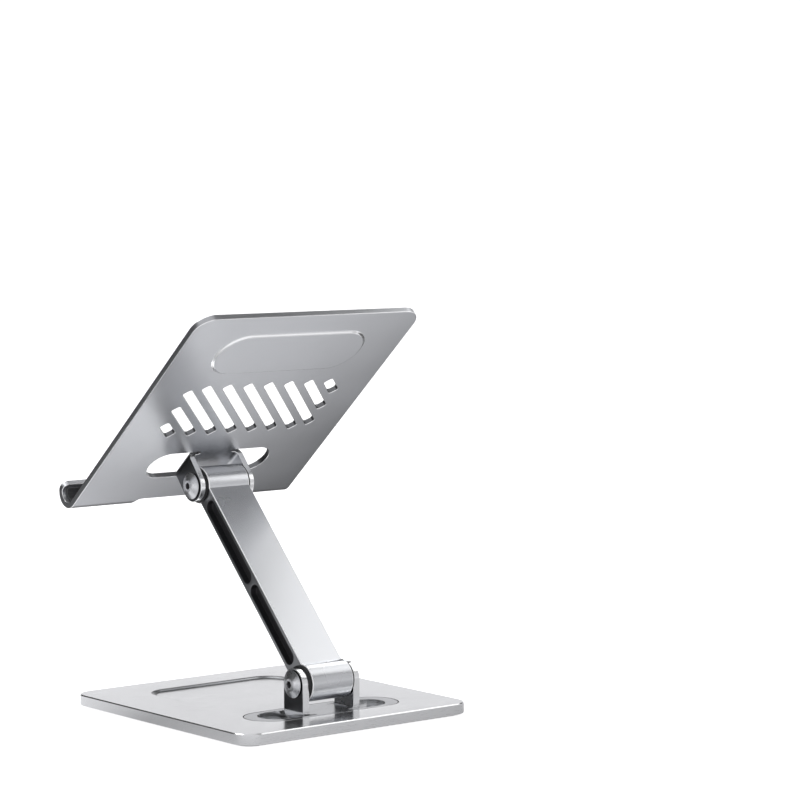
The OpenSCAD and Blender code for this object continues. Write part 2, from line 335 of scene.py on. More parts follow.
def along_x(bm):
    bm.transform(ALONG_X)
    return bm


def cut_at(bm, axis, values):
    """Adds edges across the mesh where the coordinate has these values, so that it can bend there."""
    for v in values:
        co, no = Vector(), Vector()
        co[axis], no[axis] = v, 1
        geom = bm.verts[:] + bm.edges[:] + bm.faces[:]
        bmesh.ops.bisect_plane(bm, geom=geom, dist=1e-6, plane_co=co, plane_no=no)


def linked(name, bm):
    """Puts a mesh into the scene as an object of the same name."""
    mesh = bpy.data.meshes.new(name)
    bm.to_mesh(mesh)
    bm.free()
    obj = bpy.data.objects.new(name, mesh)
    bpy.context.scene.collection.objects.link(obj)
    return obj


def shown(name, bm, matrix, body, nodes, mats, sharp=38):
    """Turns a mesh in millimetres into a finished piece in the row frame."""
    bm.transform(Matrix.Scale(0.001, 4) @ matrix)
    obj = linked(name, bm)
    obj.data.shade_smooth()
    obj.data.set_sharp_from_angle(angle=math.radians(sharp))
    for m in mats:
        obj.data.materials.append(m)
    weighted = obj.modifiers.new("normals", "WEIGHTED_NORMAL")
    weighted.keep_sharp = True
    weighted.weight = 60
    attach(obj, body)
    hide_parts(*nodes)
    return obj


# ---------------------------------------------------------------- materials
# Noise sizes are per metre. Noise is read over the middle of its range, which holds most of its values.
NOISE_LOW, NOISE_HIGH = 0.3, 0.7
EVEN = (1, 1, 1)
ROLLED = (0.03, 1, 1)
MIX_FACTOR, MIX_A, MIX_B, MIX_COLOR = 0, 6, 7, 2


def node_maker(mat):
    """Empties the material's nodes, and gives a function that adds a node and one that links two."""
    mat.use_nodes = True
    tree = mat.node_tree
    tree.nodes.clear()

    def make(kind, **values):
        n = tree.nodes.new(kind)
        for key, value in values.items():
            if key in n.inputs:
                n.inputs[key].default_value = value
            else:
                setattr(n, key, value)
        return n

    def link(a, out, b, into):
        tree.links.new(a.outputs[out], b.inputs[into])

    return make, link


def surface(make, link, **values):
    """The principled shader with these values, linked to the output."""
    bsdf = make("ShaderNodeBsdfPrincipled")
    for key, value in values.items():
        bsdf.inputs[key.replace("_", " ")].default_value = value
    out = make("ShaderNodeOutputMaterial")
    link(bsdf, "BSDF", out, "Surface")
    return bsdf


def noise(make, link, coord, scale, size, detail=3.0, rough=0.5):
    """Noise whose grain is stretched by scale, an (x, y, z) stretch in object space."""
    m = make("ShaderNodeMapping")
    m.inputs["Scale"].default_value = scale
    link(coord, "Object", m, "Vector")
    n = make("ShaderNodeTexNoise", Scale=size, Detail=detail, Roughness=rough)
    link(m, "Vector", n, "Vector")
    return n


def ranged(make, link, source, low, high):
    """The noise spread from low to high."""
    r = make("ShaderNodeMapRange")
    r.inputs["From Min"].default_value = NOISE_LOW
    r.inputs["From Max"].default_value = NOISE_HIGH
    r.inputs["To Min"].default_value = low
    r.inputs["To Max"].default_value = high
    link(source, 0, r, "Value")
    return r


def two_tones(make, color, darker, lighter):
    """A mix of the colour times darker and the colour times lighter, at most white."""
    tone = make("ShaderNodeMix", data_type="RGBA")
    tone.inputs[MIX_A].default_value = (*[c * darker for c in color], 1)
    tone.inputs[MIX_B].default_value = (*[min(1, c * lighter) for c in color], 1)
    return tone


def metal(name, color, rough, streak=0.05, spread=0.03, grain=0.06, metallic=1.0):
    """Satin metal: fine blasted grain, faint rolling streaks along X, softly varied tone and gloss."""
    mat = bpy.data.materials.new(name)
    make, link = node_maker(mat)
    coord = make("ShaderNodeTexCoord")
    bsdf = surface(make, link, Metallic=metallic, Roughness=rough)
    fine = noise(make, link, coord, EVEN, size=4200, detail=2.0)
    lines = noise(make, link, coord, ROLLED, size=2600, detail=3.0, rough=0.6)
    cloud = noise(make, link, coord, EVEN, size=28)
    tone = two_tones(make, color, darker=0.96, lighter=1.0)
    blend = make("ShaderNodeMath", operation="MULTIPLY_ADD", use_clamp=True)
    blend.inputs[1].default_value = streak * 4
    link(lines, 0, blend, 0)
    link(ranged(make, link, cloud, 0, 1), 0, blend, 2)
    link(blend, 0, tone, MIX_FACTOR)
    link(tone, MIX_COLOR, bsdf, "Base Color")
    gloss = make("ShaderNodeMath", operation="ADD", use_clamp=True)
    link(ranged(make, link, lines, rough - streak, rough + streak), 0, gloss, 0)
    link(ranged(make, link, cloud, -spread / 2, spread / 2), 0, gloss, 1)
    link(gloss, 0, bsdf, "Roughness")
    grains = make("ShaderNodeBump", Strength=grain, Distance=0.00006)
    link(fine, 0, grains, "Height")
    streaks = make("ShaderNodeBump", Strength=streak * 0.3, Distance=0.00003)
    link(lines, 0, streaks, "Height")
    link(grains, 0, streaks, "Normal")
    link(streaks, 0, bsdf, "Normal")
    return mat


def turned_steel(name, color, rough, axis_at):
    """Steel with fine tool rings round an axis along X, through the point axis_at in millimetres."""
    mat = bpy.data.materials.new(name)
    make, link = node_maker(mat)
    coord = make("ShaderNodeTexCoord")
    bsdf = surface(make, link, Metallic=1.0, Roughness=rough, Base_Color=(*color, 1))
    from_axis = make("ShaderNodeMapping")
    from_axis.inputs["Location"].default_value = (0, -axis_at.y / 1000, -axis_at.z / 1000)
    from_axis.inputs["Scale"].default_value = (0, 1, 1)
    link(coord, "Object", from_axis, "Vector")
    radius = make("ShaderNodeVectorMath", operation="LENGTH")
    link(from_axis, 0, radius, 0)
    wave = make("ShaderNodeMath", operation="MULTIPLY")
    wave.inputs[1].default_value = 26000
    link(radius, "Value", wave, 0)
    rings = make("ShaderNodeMath", operation="SINE")
    link(wave, 0, rings, 0)
    bump = make("ShaderNodeBump", Strength=0.06, Distance=0.00004)
    link(rings, 0, bump, "Height")
    link(bump, 0, bsdf, "Normal")
    fine = noise(make, link, coord, EVEN, size=900)
    link(ranged(make, link, fine, rough - 0.05, rough + 0.07), 0, bsdf, "Roughness")
    return mat


def silicone(name, color, rough=0.62, sheen=0.15, vary=0.12):
    """Silicone rubber: fine moulded grain, soft gloss changes and a little dust in the grain."""
    mat = bpy.data.materials.new(name)
    make, link = node_maker(mat)
    coord = make("ShaderNodeTexCoord")
    bsdf = surface(make, link, Roughness=rough, Sheen_Weight=sheen, Specular_IOR_Level=0.35)
    fine = noise(make, link, coord, EVEN, size=3200, detail=3.0, rough=0.6)
    cloud = noise(make, link, coord, EVEN, size=90)
    tone = two_tones(make, color, darker=1 - vary, lighter=1 + vary)
    link(ranged(make, link, cloud, 0, 1), 0, tone, MIX_FACTOR)
    link(tone, MIX_COLOR, bsdf, "Base Color")
    link(ranged(make, link, cloud, rough - 0.07, rough + 0.07), 0, bsdf, "Roughness")
    bump = make("ShaderNodeBump", Strength=0.35, Distance=0.00008)
    link(fine, 0, bump, "Height")
    link(bump, 0, bsdf, "Normal")
    return mat


def plain_floor():
    """White studio floor that gives off some light of its own, so that it stays white under the stand."""
    mat = bpy.data.materials.new("floor_white")
    make, link = node_maker(mat)
    surface(make, link, Base_Color=(0.93, 0.93, 0.93, 1), Roughness=0.9, Specular_IOR_Level=0.1,
            Emission_Color=(1, 1, 1, 1), Emission_Strength=0.78)
    return mat


ALU_BASE = metal("alu_base", (0.90, 0.905, 0.915), 0.2)
# Partly painted shade: the base's sides get a darker grey than its top; their rougher, streaked gloss is the
# brushed metal itself.
ALU_SIDE_BRUSHED_AND_PAINTED_SHADE = metal("alu_side_brushed_and_painted_shade", (0.80, 0.805, 0.815), 0.36, streak=0.15)
# Painted shade: the bracket and the arm get a darker grey than the base, though they are the same metal.
ALU_HINGE_PAINTED_SHADE = metal("alu_hinge_painted_shade", (0.70, 0.71, 0.73), 0.27, streak=0.0, spread=0.01, grain=0.04)
# Painted shade on the arm's flat sides, on the walls of the plate's slots and tab openings, and on the
# tray's sloping run.
ALU_PAINTED_SHADE = metal("alu_painted_shade", (0.26, 0.265, 0.275), 0.3, streak=0.0, spread=0.015)
# Painted shade on the ears' outer faces, which are darker still.
ALU_EAR_PAINTED_SHADE = metal("alu_ear_painted_shade", (0.13, 0.133, 0.14), 0.3, streak=0.0, spread=0.015)
# Painted shade in the base's pocket round the bracket and in the arm's side channels.
ALU_RECESS_PAINTED_SHADE = metal("alu_recess_painted_shade", (0.10, 0.10, 0.105), 0.42, streak=0.01)
# Painted shade: the holder plate gets a darker grey than the base, though it is the same metal.
ALU_PLATE_PAINTED_SHADE = metal("alu_plate_painted_shade", (0.62, 0.63, 0.65), 0.33, streak=0.02)
ALU_EDGE = metal("alu_cut_edge", (0.93, 0.935, 0.94), 0.2, streak=0.02, grain=0.02)
# Painted highlight: a pale, partly non-metal finish makes the arm's rounded edges show as a bright line.
ALU_ARM_EDGE_PAINTED_HIGHLIGHT = metal("alu_arm_edge_painted_highlight", (0.95, 0.953, 0.96), 0.45, streak=0.01, spread=0.02, metallic=0.35)
STEEL_LOW = turned_steel("steel_screw_low", (0.72, 0.73, 0.75), 0.3, LOWER_AXIS)
STEEL_UP = turned_steel("steel_screw_up", (0.72, 0.73, 0.75), 0.3, UPPER_AXIS)
# Painted shade inside the screws' hex sockets, a dark grey where the steel of the heads would be.
SOCKET = metal("socket_painted_shade", (0.16, 0.16, 0.17), 0.5)
SPRING = metal("spring_steel", (0.32, 0.33, 0.35), 0.3)
SLEEVE = metal("sleeve_steel", (0.6, 0.6, 0.62), 0.2)
BRONZE = metal("bush_bronze", (0.62, 0.44, 0.22), 0.3)
WASHER = silicone("washer_polymer", (0.012, 0.012, 0.013), 0.5, 0.0)
PAD = silicone("pad_silicone", (0.255, 0.26, 0.265), 0.6, 0.1, 0.05)
LINER = silicone("liner_silicone", (0.035, 0.036, 0.038))
FOOT_RUBBER = silicone("foot_silicone", (0.045, 0.046, 0.048))

# what each of a piece's materials is for, as its place in the piece's list
# EAR holds painted shade, on the ears' outer faces.
FACE, EDGE, EAR = 0, 1, 2
BASE_FINISHES = [ALU_BASE, ALU_EDGE, ALU_SIDE_BRUSHED_AND_PAINTED_SHADE, ALU_RECESS_PAINTED_SHADE, ALU_PAINTED_SHADE]
# BASE_SIDE holds partly painted shade, BASE_POCKET and BASE_TRAY hold painted shade.
BASE_SIDE, BASE_POCKET, BASE_TRAY = 2, 3, 4
BRACKET_FINISHES = [ALU_HINGE_PAINTED_SHADE, ALU_EDGE, ALU_EAR_PAINTED_SHADE]
ARM_FINISHES = [ALU_HINGE_PAINTED_SHADE, ALU_ARM_EDGE_PAINTED_HIGHLIGHT, ALU_RECESS_PAINTED_SHADE, ALU_PAINTED_SHADE]
# ARM_CHANNEL and ARM_SIDE hold painted shade, in the side channels and on the flat sides round them.
ARM_CHANNEL, ARM_SIDE = 2, 3
PLATE_FINISHES = [ALU_PLATE_PAINTED_SHADE, ALU_EDGE, ALU_EAR_PAINTED_SHADE, ALU_PAINTED_SHADE]
# PLATE_WALL holds painted shade, on the walls of the slots and tab openings.
PLATE_WALL = 3


# ---------------------------------------------------------------- base
def base_mesh():
    s = Skin()
    outer = round_rect(BASE_W, BASE_D, BASE_R, n=20)
    low0, low1 = s.rise(outer, [(0.5, FOOT_T), (0.15, FOOT_T + 0.12), (0, FOOT_T + 0.45)], EDGE)
    top0, top1 = s.rise(outer, [(0, BASE_TOP - 0.62), (0.05, BASE_TOP - 0.52), (0.52, BASE_TOP - 0.05),
                                (0.62, BASE_TOP)], EDGE)
    # The sides: partly painted shade.
    s.strip(low1, top0, BASE_SIDE)
    tray = clockwise(clean(round_rect(TRAY_W, TRAY_D, TRAY_R, 0, TRAY_Y, 18)))
    # The tray's sloping run: painted shade.
    tray_top, tray_floor = s.rise(tray, smooth_steps(TRAY_RUN, TRAY_T, BASE_TOP), BASE_TRAY)
    pocket = clean(clockwise(stadium(BRACKET_C, BRACKET_R + BRACKET_GAP, LOWER_AXIS.y)))
    # The pocket's walls and floor: painted shade.
    pocket_top, wall = s.rise(pocket, [(0.35, BASE_TOP), (0.1, BASE_TOP - 0.1), (0, BASE_TOP - 0.35)],
                              BASE_POCKET)
    pocket_floor = s.ring(pocket, BRACKET_Z)
    s.strip(wall, pocket_floor, BASE_POCKET)
    s.cap([low0])
    s.cap([top1, tray_top, pocket_top])
    s.cap([tray_floor])
    s.cap([pocket_floor])
    return s.done()


def foot_mesh():
    outline = round_rect(BASE_W - 2 * FOOT_IN, BASE_D - 2 * FOOT_IN, BASE_R - FOOT_IN, n=16)
    return prism(outline, [], 0, FOOT_T, 0.25, 0.05, 3)


def bracket_mesh():
    """Blank with two tabs, bent up into ears whose straight part is stretched to reach the hinge axis."""
    outer_r = BRACKET_BEND_R + BRACKET_T
    bend = EAR_IN - BRACKET_BEND_R
    bend_l = math.pi / 2 * (BRACKET_BEND_R + BRACKET_T / 2)
    hole = tab_hole(LOWER_CUT_IN, LOWER_TAB_R, LOWER_TAB_C)
    pin = circle(PIN_R, LOWER_TAB_C, 0, 32)
    bm = prism(stadium(BRACKET_C, BRACKET_R), [hole, mirrored(hole), pin, mirrored(pin)],
               0, BRACKET_T, 0.2, 0.25, 2, EDGE, EDGE)
    cut_at(bm, 0, [side * (bend + bend_l * k / 10) for k in range(11) for side in (-1, 1)])
    drawn = LOWER_TAB_C - LOWER_TAB_R - bend - bend_l
    wanted = LOWER_AXIS.z - (BRACKET_Z + outer_r) - LOWER_TAB_R
    for v in bm.verts:
        x, y, z = v.co
        side, out = (1 if x > 0 else -1), abs(x)
        if out < bend - 1e-6 or not in_tab(out, y, LOWER_TAB_C, LOWER_TAB_R):
            continue
        d, r = out - bend, outer_r - z
        if d <= bend_l:
            a = d / bend_l * math.pi / 2
            v.co = (side * (bend + r * math.sin(a)), y, outer_r - r * math.cos(a))
        else:
            e = d - bend_l
            e = e * wanted / drawn if e < drawn else e - drawn + wanted
            v.co = (side * (bend + r), y, outer_r + e)
    # Painted shade on the ears' outer faces.
    shade_ears(bm, EAR_IN + BRACKET_T, 9, 33)
    bm.transform(Matrix.Translation((0, LOWER_AXIS.y, BRACKET_Z)))
    return bm


def in_tab(out, y, tab_c, tab_r, slack=0.06):
    """Whether a point of the blank, out from the middle, is on the tab."""
    if out <= tab_c:
        return abs(y) < tab_r + slack
    return math.hypot(out - tab_c, y) < tab_r + slack


def shade_ears(bm, out, low, high, ear_half_w=9.6, bend_w=2.8, bend_h=1.2, facing=0.4):
    """Gives the ears' outer faces, between these heights, and the bends above them a darker material that is
    painted shade.
    """
    bm.normal_update()
    for f in bm.faces:
        mid = f.calc_center_median()
        flat = abs(mid.x) > out - 0.01 and low < mid.z < high
        outwards = abs(f.normal.x) > facing and f.normal.x * mid.x > 0
        bend = abs(mid.x) > out - bend_w and mid.z > high - bend_h and outwards
        if (flat or bend) and abs(mid.y) < ear_half_w:
            f.material_index = EAR


# ---------------------------------------------------------------- hinge hardware
def screw_mesh(seat, shank_from):
    """Wide low cone of a head with a soft crown and a hex socket, its underside at z = seat, along +z."""
    rim, top = seat + 0.4, seat + HEAD_H
    fall, rise = HEAD_R - CROWN_R - 0.6, HEAD_H - 0.62
    cone = [(HEAD_R - 0.3 - fall * k / 6, rim + 0.16 + rise * k / 6) for k in range(7)]
    profile = ([(SHANK_R, shank_from), (SHANK_R, seat), (HEAD_R - 0.2, seat), (HEAD_R, seat + 0.15),
                (HEAD_R, rim), (HEAD_R - 0.12, rim + 0.1)] + cone
               + [(CROWN_R, top - 0.03), (CROWN_R - 0.4, top)])
    return turned_with_socket(profile, SOCKET_R, SOCKET_DEPTH)


def hinge_hardware(tag, frame_at, body, nodes, ear_out, steel):
    seat = ear_out + WASHER_T
    screws = along_x(both_ends(screw_mesh, seat, EAR_IN - 11))
    shown(f"{tag}_pivot_screws", screws, frame_at, body, [nodes[0]], [steel, SOCKET])
    rings = along_x(both_ends(tube, SPRING_R, PIN_R, ear_out, seat))
    shown(f"{tag}_spring_washers", rings, frame_at, body, [nodes[1]], [SPRING])
    friction = along_x(both_ends(tube, FRICTION_R, SLEEVE_R + RUN_GAP, ARM_HALF_W + RUN_GAP, EAR_IN, 0.15))
    shown(f"{tag}_friction_washers", friction, frame_at, body, [nodes[2]], [WASHER])
    sleeve = along_x(tube(SLEEVE_R, SHANK_R + 0.02, -EAR_IN, EAR_IN, 0.3))
    shown(f"{tag}_pivot_sleeve", sleeve, frame_at, body, [nodes[3]], [SLEEVE])


def bushes(name, frame_at, node):
    bm = along_x(both_ends(tube, BUSH_R, SLEEVE_R + RUN_GAP, ARM_HALF_W - BUSH_L, ARM_HALF_W, 0.25))
    shown(name, bm, frame_at, "arm", [node], [BRONZE])


# ---------------------------------------------------------------- arm
def arm_outline():
    """Side outline of the arm, drawn with x along the arm towards the tip and y towards its back face."""
    back = math.degrees(math.asin(ARM_BACK / BARREL_R))
    under = math.degrees(math.asin(ARM_UNDER / BARREL_R))
    tip = arc(ARM_L, 0, BARREL_R, -(180 - under), 180 - back, 64)
    root = arc(0, 0, BARREL_R, back, 360 - under, 64)
    return tip + root


def side_channel(a, b):
    return clean(clockwise(round_rect(b - a, CHANNEL_D, CHANNEL_R, (a + b) / 2, CHANNEL_Y, 14)))


def arm_mesh():
    """The arm with its bores and side channels, drawn upright and then laid along -Y."""
    s = Skin()
    walls = [clean(arm_outline())] + [clean(clockwise(circle(BUSH_R, x, 0))) for x in (0, ARM_L)]
    channels = [side_channel(CHANNEL_END, ARM_MID - CHANNEL_WEB),
                side_channel(ARM_MID + CHANNEL_WEB, ARM_L - CHANNEL_END)]
    bevel = [(0, -0.5), (0.14, -0.14), (0.5, 0)]
    channel_steps = [(0.25, 0), (0.06, -0.1), (0, -0.3), (0, 0.8 - CHANNEL_DEEP), (-0.3, 0.2 - CHANNEL_DEEP),
                     (-0.9, -CHANNEL_DEEP)]
    starts = []
    for side in (-1, 1):
        bevels = [s.rise(w, [(t, side * (ARM_HALF_W + h)) for t, h in bevel], EDGE) for w in walls]
        starts.append([first for first, last in bevels])
        rim = [last for first, last in bevels]
        for loop in channels:
            # The channels' walls and floors: painted shade.
            mouth, floor = s.rise(loop, [(t, side * (ARM_HALF_W + h)) for t, h in channel_steps],
                                  ARM_CHANNEL)
            rim.append(mouth)
            s.cap([floor], ARM_CHANNEL)
        # The flat sides round the channels: painted shade.
        s.cap(rim, ARM_SIDE)
    for a, b in zip(*starts):
        s.strip(a, b)
    bm = s.done()
    # drawn x -> -y, y -> z, z -> x
    bm.transform(Matrix(((0, 0, 1, 0), (-1, 0, 0, 0), (0, 1, 0, 0), (0, 0, 0, 1))))
    bmesh.ops.recalc_face_normals(bm, faces=bm.faces)
    return bm


def pocket_outlines():
    """The hollows in the arm's underside, on both sides of its forked ribs, as (x, distance up the arm)."""
    loops = []
    for root, fork, end in ((POCKET_ROOT, POCKET_FORK, ARM_MID - POCKET_WEB),
                            (ARM_L - POCKET_ROOT, ARM_L - POCKET_FORK, ARM_MID + POCKET_WEB)):
        s = 1 if end > root else -1
        inner = [(0, fork + s * 3.2), (POCKET_HALF_W - 2.3, end), (2.3 - POCKET_HALF_W, end)]
        right = [(RIB_HALF_T, root), (POCKET_HALF_W, root), (POCKET_HALF_W, end - s * 3.5),
                 (RIB_HALF_T, fork + s * 0.6)]
        loops += [inner, right, [(-x, y) for x, y in right]]
    return loops


def pocket_cutter(loop):
    s = Skin()
    shape = clean(rounded_polygon([(x, -y) for x, y in loop], POCKET_R))
    bottom, top = s.rise(shape, [(-0.35, -7), (-0.35, -6.0), (0, -5.6), (0, 4.0), (0.2, 4.4), (0.6, 4.6)])
    s.cap([bottom])
    s.cap([top])
    return s.done()


def arm_piece():
    """The arm with the pockets cut out of its underside."""
    body = linked("arm_body", arm_mesh())
    cutters = [linked(f"cutter_{i}", pocket_cutter(loop)) for i, loop in enumerate(pocket_outlines())]
    for i, cutter in enumerate(cutters):
        cut = body.modifiers.new(f"cut_{i}", "BOOLEAN")
        cut.operation = "DIFFERENCE"
        cut.solver = "EXACT"
        cut.object = cutter
    depsgraph = bpy.context.evaluated_depsgraph_get()
    made = bmesh.new()
    made.from_mesh(bpy.data.meshes.new_from_object(body.evaluated_get(depsgraph)))
    for obj in [body] + cutters:
        bpy.data.objects.remove(obj)
    shown("arm", made, ARM, "arm", ["arm"], ARM_FINISHES, 32)


# ---------------------------------------------------------------- holder plate
def plate_outline():
    """The flat blank: a rounded plate whose lower end goes on as the two strips that become hooks."""
    x, round_r, neck_r = PLATE_W / 2, 5, 4
    end = HOOK_V - HOOK_MID_R * HOOK_TURN
    right = (arc(HOOK_IN - neck_r, HOOK_V + 0.6 - neck_r, neck_r, 90, 0, 10)
             + arc(HOOK_IN + round_r, end + round_r, round_r, 180, 270, 12)
             + arc(x - round_r, end + round_r, round_r, 270, 360, 12))
    return (arc(x - PLATE_R, PLATE_TOP - PLATE_R, PLATE_R, 0, 90, 20)
            + arc(PLATE_R - x, PLATE_TOP - PLATE_R, PLATE_R, 90, 180, 20) + mirrored(right) + right)


def cooling_slots():
    """Each slot is the part of its slanting line that lies inside the slot field."""
    loops = []
    for i in range(SLOT_N):
        u0 = SLOT_FIRST - i * SLOT_PITCH
        v0 = max(SLOT_LOW, SLOT_MID + (SLOT_LEFT - u0) * SLOT_SLOPE)
        v1 = min(SLOT_HIGH, SLOT_MID + (SLOT_RIGHT - u0) * SLOT_SLOPE)
        a = Vector((u0 + (v0 - SLOT_MID) / SLOT_SLOPE, v0))
        b = Vector((u0 + (v1 - SLOT_MID) / SLOT_SLOPE, v1))
        c = (a + b) / 2
        slot = clean(round_rect((b - a).length, SLOT_W, SLOT_R, n=6))
        loops.append(turned_outline(slot, math.atan(SLOT_SLOPE), c.x, c.y))
    return loops


def plate_blank():
    """The flat blank with its slots and tab openings, the pad's seat in front and the raised boss behind."""
    hole = tab_hole(UPPER_CUT_IN, UPPER_TAB_R, UPPER_TAB_C)
    pin = circle(PIN_R, UPPER_TAB_C, 0, 32)
    holes = cooling_slots() + [hole, mirrored(hole), pin, mirrored(pin)]
    s = Skin()
    rears, fronts = [], []
    for loop in [plate_outline()] + [clockwise(h) for h in holes]:
        loop = clean(loop)
        up, top = edge_steps(0, PLATE_T, PLATE_EDGE_R, PLATE_EDGE_R)
        a0, a1 = s.rise(loop, up, EDGE)
        b0, b1 = s.rise(loop, top, EDGE)
        s.strip(a1, b0, EDGE if rears else FACE)
        rears.append(a0)
        fronts.append(b1)
    boss = clean(clockwise(stadium(BOSS_C, BOSS_R, PAD_V, 36)))
    boss_rim, boss_top = s.rise(boss, smooth_steps(BOSS_RUN, BOSS_H, 0, 9), EDGE)
    seat = clean(clockwise(stadium(PAD_C, PAD_R + 0.3, PAD_V, 36)))
    seat_rim, seat_floor = s.rise(seat, [(0.15, PLATE_T), (0, PLATE_T - 0.15), (0, PLATE_T - PAD_SINK)])
    s.cap([boss_top])
    s.cap([seat_floor])
    s.cap(rears + [boss_rim])
    s.cap(fronts + [seat_rim])
    return s.done()


def plate_mesh():
    """The blank with its tabs bent back into ears and its lower strips rolled forward into hooks."""
    bm = plate_blank()
    bend = EAR_IN - PLATE_BEND_R
    bend_l = math.pi / 2 * (PLATE_BEND_R + PLATE_T / 2)
    cut_at(bm, 0, [side * (bend + bend_l * i / 12) for i in range(13) for side in (-1, 1)])
    cut_at(bm, 1, [HOOK_V - HOOK_MID_R * HOOK_TURN * i / 30 for i in range(30)])
    hooks_from = 25
    for vert in bm.verts:
        u, v, w = vert.co
        side, out = (1 if u > 0 else -1), abs(u)
        if v < HOOK_V and out > hooks_from:
            a, r = (HOOK_V - v) / HOOK_MID_R, HOOK_OUTER_R - w
            vert.co = (u, HOOK_V - r * math.sin(a), HOOK_OUTER_R - r * math.cos(a))
        elif out > bend - 1e-6 and in_tab(out, v, UPPER_TAB_C, UPPER_TAB_R):
            d, r = out - bend, w + PLATE_BEND_R
            if d <= bend_l:
                a = d / bend_l * math.pi / 2
                vert.co = (side * (bend + r * math.sin(a)), v, -PLATE_BEND_R + r * math.cos(a))
            else:
                vert.co = (side * (bend + r), v, -PLATE_BEND_R - (d - bend_l))
    # Painted shade on the ears' outer faces.
    shade_ears(bm, EAR_IN + PLATE_T, -40, -2)
    # Painted shade on the walls of the slots and tab openings.
    shade_walls(bm)
    bm.transform(Matrix.Translation((0, 0, PLATE_OFF)))
    return bm


def shade_walls(bm, half_w=60, low=-15, high=80, edge=0.3):
    """Gives the walls of the slots and the tab openings, in this field of the plate, a darker material that
    is painted shade.
    """
    for f in bm.faces:
        mid = f.calc_center_median()
        in_field = abs(mid.x) < half_w and low < mid.y < high
        if in_field and abs(f.normal.z) < 0.3 and edge < mid.z < PLATE_T - edge:
            f.material_index = PLATE_WALL


def front_pad_mesh():
    """The pad, with a fine groove just inside its rim."""
    s = Skin()
    loop = clean(stadium(PAD_C, PAD_R, PAD_V, 40))
    z0 = PLATE_OFF + PLATE_T - PAD_SINK
    z1 = z0 + PAD_T
    bottom, top = s.rise(loop, [(0.2, z0), (0, z0 + 0.2), (0, z1 - 0.6), (0.1, z1 - 0.3), (0.3, z1 - 0.1),
                                (0.7, z1), (2.0, z1), (2.15, z1 - 0.12), (2.5, z1 - 0.12), (2.65, z1)])
    s.cap([bottom])
    s.cap([top])
    return s.done()


def liner_mesh():
    """Silicone strip that lines a hook, as a profile along X with fine grip grooves."""
    ro, ri = HOOK_INNER_R - 0.02, HOOK_INNER_R - LINER_T
    turn = math.pi - math.asin(LIP_DROP / LIP_R)

    def on_hook(r, a):
        return HOOK_V - r * math.sin(a), HOOK_OUTER_R - r * math.cos(a)

    run = HOOK_V + LINER_RUN
    outer = [(run, HOOK_OUTER_R - ro), (HOOK_V, HOOK_OUTER_R - ro)]
    outer += [on_hook(ro, turn * k / 28) for k in range(1, 29)]
    inner = [on_hook(ri + (0.22 if k % 4 == 0 else 0), turn * k / 56) for k in range(56, 0, -1)]
    inner += [(HOOK_V, HOOK_OUTER_R - ri), (run - 0.8, HOOK_OUTER_R - ri), (run, HOOK_OUTER_R - ri - 0.8)]
    loop = clean(outer + inner)
    if signed_area(loop) < 0:
        loop.reverse()
    bm = prism(loop, [], HOOK_IN + LINER_IN, PLATE_W / 2 - LINER_IN, 0.12, 0.12, 2)
    # drawn x -> v, y -> w, z -> x
    bm.transform(Matrix(((0, 0, 1, 0), (1, 0, 0, 0), (0, 1, 0, PLATE_OFF), (0, 0, 0, 1))))
    return bm


def left_copy(bm):
    other = bm.copy()
    other.transform(Matrix.Scale(-1, 4, (1, 0, 0)))
    bmesh.ops.reverse_faces(other, faces=other.faces)
    return other


# ---------------------------------------------------------------- all the pieces
def base_pieces():
    shown("base_plate", base_mesh(), ROW, "base", ["base_plate"], BASE_FINISHES)
    shown("base_foot_pad", foot_mesh(), ROW, "base", ["base_foot_pad"], [FOOT_RUBBER])
    shown("hinge_bracket", bracket_mesh(), ROW, "base", ["hinge_bracket"],
          BRACKET_FINISHES)


def hinge_pieces():
    kinds = ("pivot_screws", "spring_washers", "friction_washers", "pivot_sleeve")
    low = [f"lower_{n}" for n in kinds]
    up = [f"upper_{n}" for n in kinds]
    hinge_hardware("lower", LOWER, "base", low, EAR_IN + BRACKET_T, STEEL_LOW)
    hinge_hardware("upper", PLATE, "holder", up, EAR_IN + PLATE_T, STEEL_UP)
    bushes("lower_bushes", LOWER, "lower_bushes")
    bushes("upper_bushes", PLATE, "upper_bushes")


def holder_pieces():
    shown("holder_panel", plate_mesh(), PLATE, "holder", ["holder_panel"],
          PLATE_FINISHES)
    shown("front_pad", front_pad_mesh(), PLATE, "holder", ["front_pad"], [PAD])
    right = liner_mesh()
    left = left_copy(right)
    shown("hook_pad_right", right, PLATE, "holder", ["hook_pad_right"], [LINER])
    shown("hook_pad_left", left, PLATE, "holder", ["hook_pad_left"], [LINER])


def bracket_screws():
    """The CAD node stays as it is, with the steel of the other small fasteners."""
    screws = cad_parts["bracket_screws"]
    screws.data.materials.clear()
    screws.data.materials.append(SPRING)


# ---------------------------------------------------------------- floor, light and camera (metres)
def floor_piece(spokes=96, inner_r=0.02, first_r=0.5, growth=1.45, rings_n=14, under=0.0003):
    """A wide disc just under the foot pad, of rings that get wider outwards."""
    bm = bmesh.new()
    rings = []
    for r in [inner_r] + [first_r * growth ** k for k in range(rings_n)]:
        rings.append([bm.verts.new((x, y, -under)) for x, y in circle(r, n=spokes)])
    for a, b in zip(rings, rings[1:]):
        for i in range(spokes):
            j = (i + 1) % spokes
            bm.faces.new((a[i], b[i], b[j], a[j]))
    bm.faces.new(rings[0])
    obj = linked("floor", bm)
    obj.data.materials.append(plain_floor())


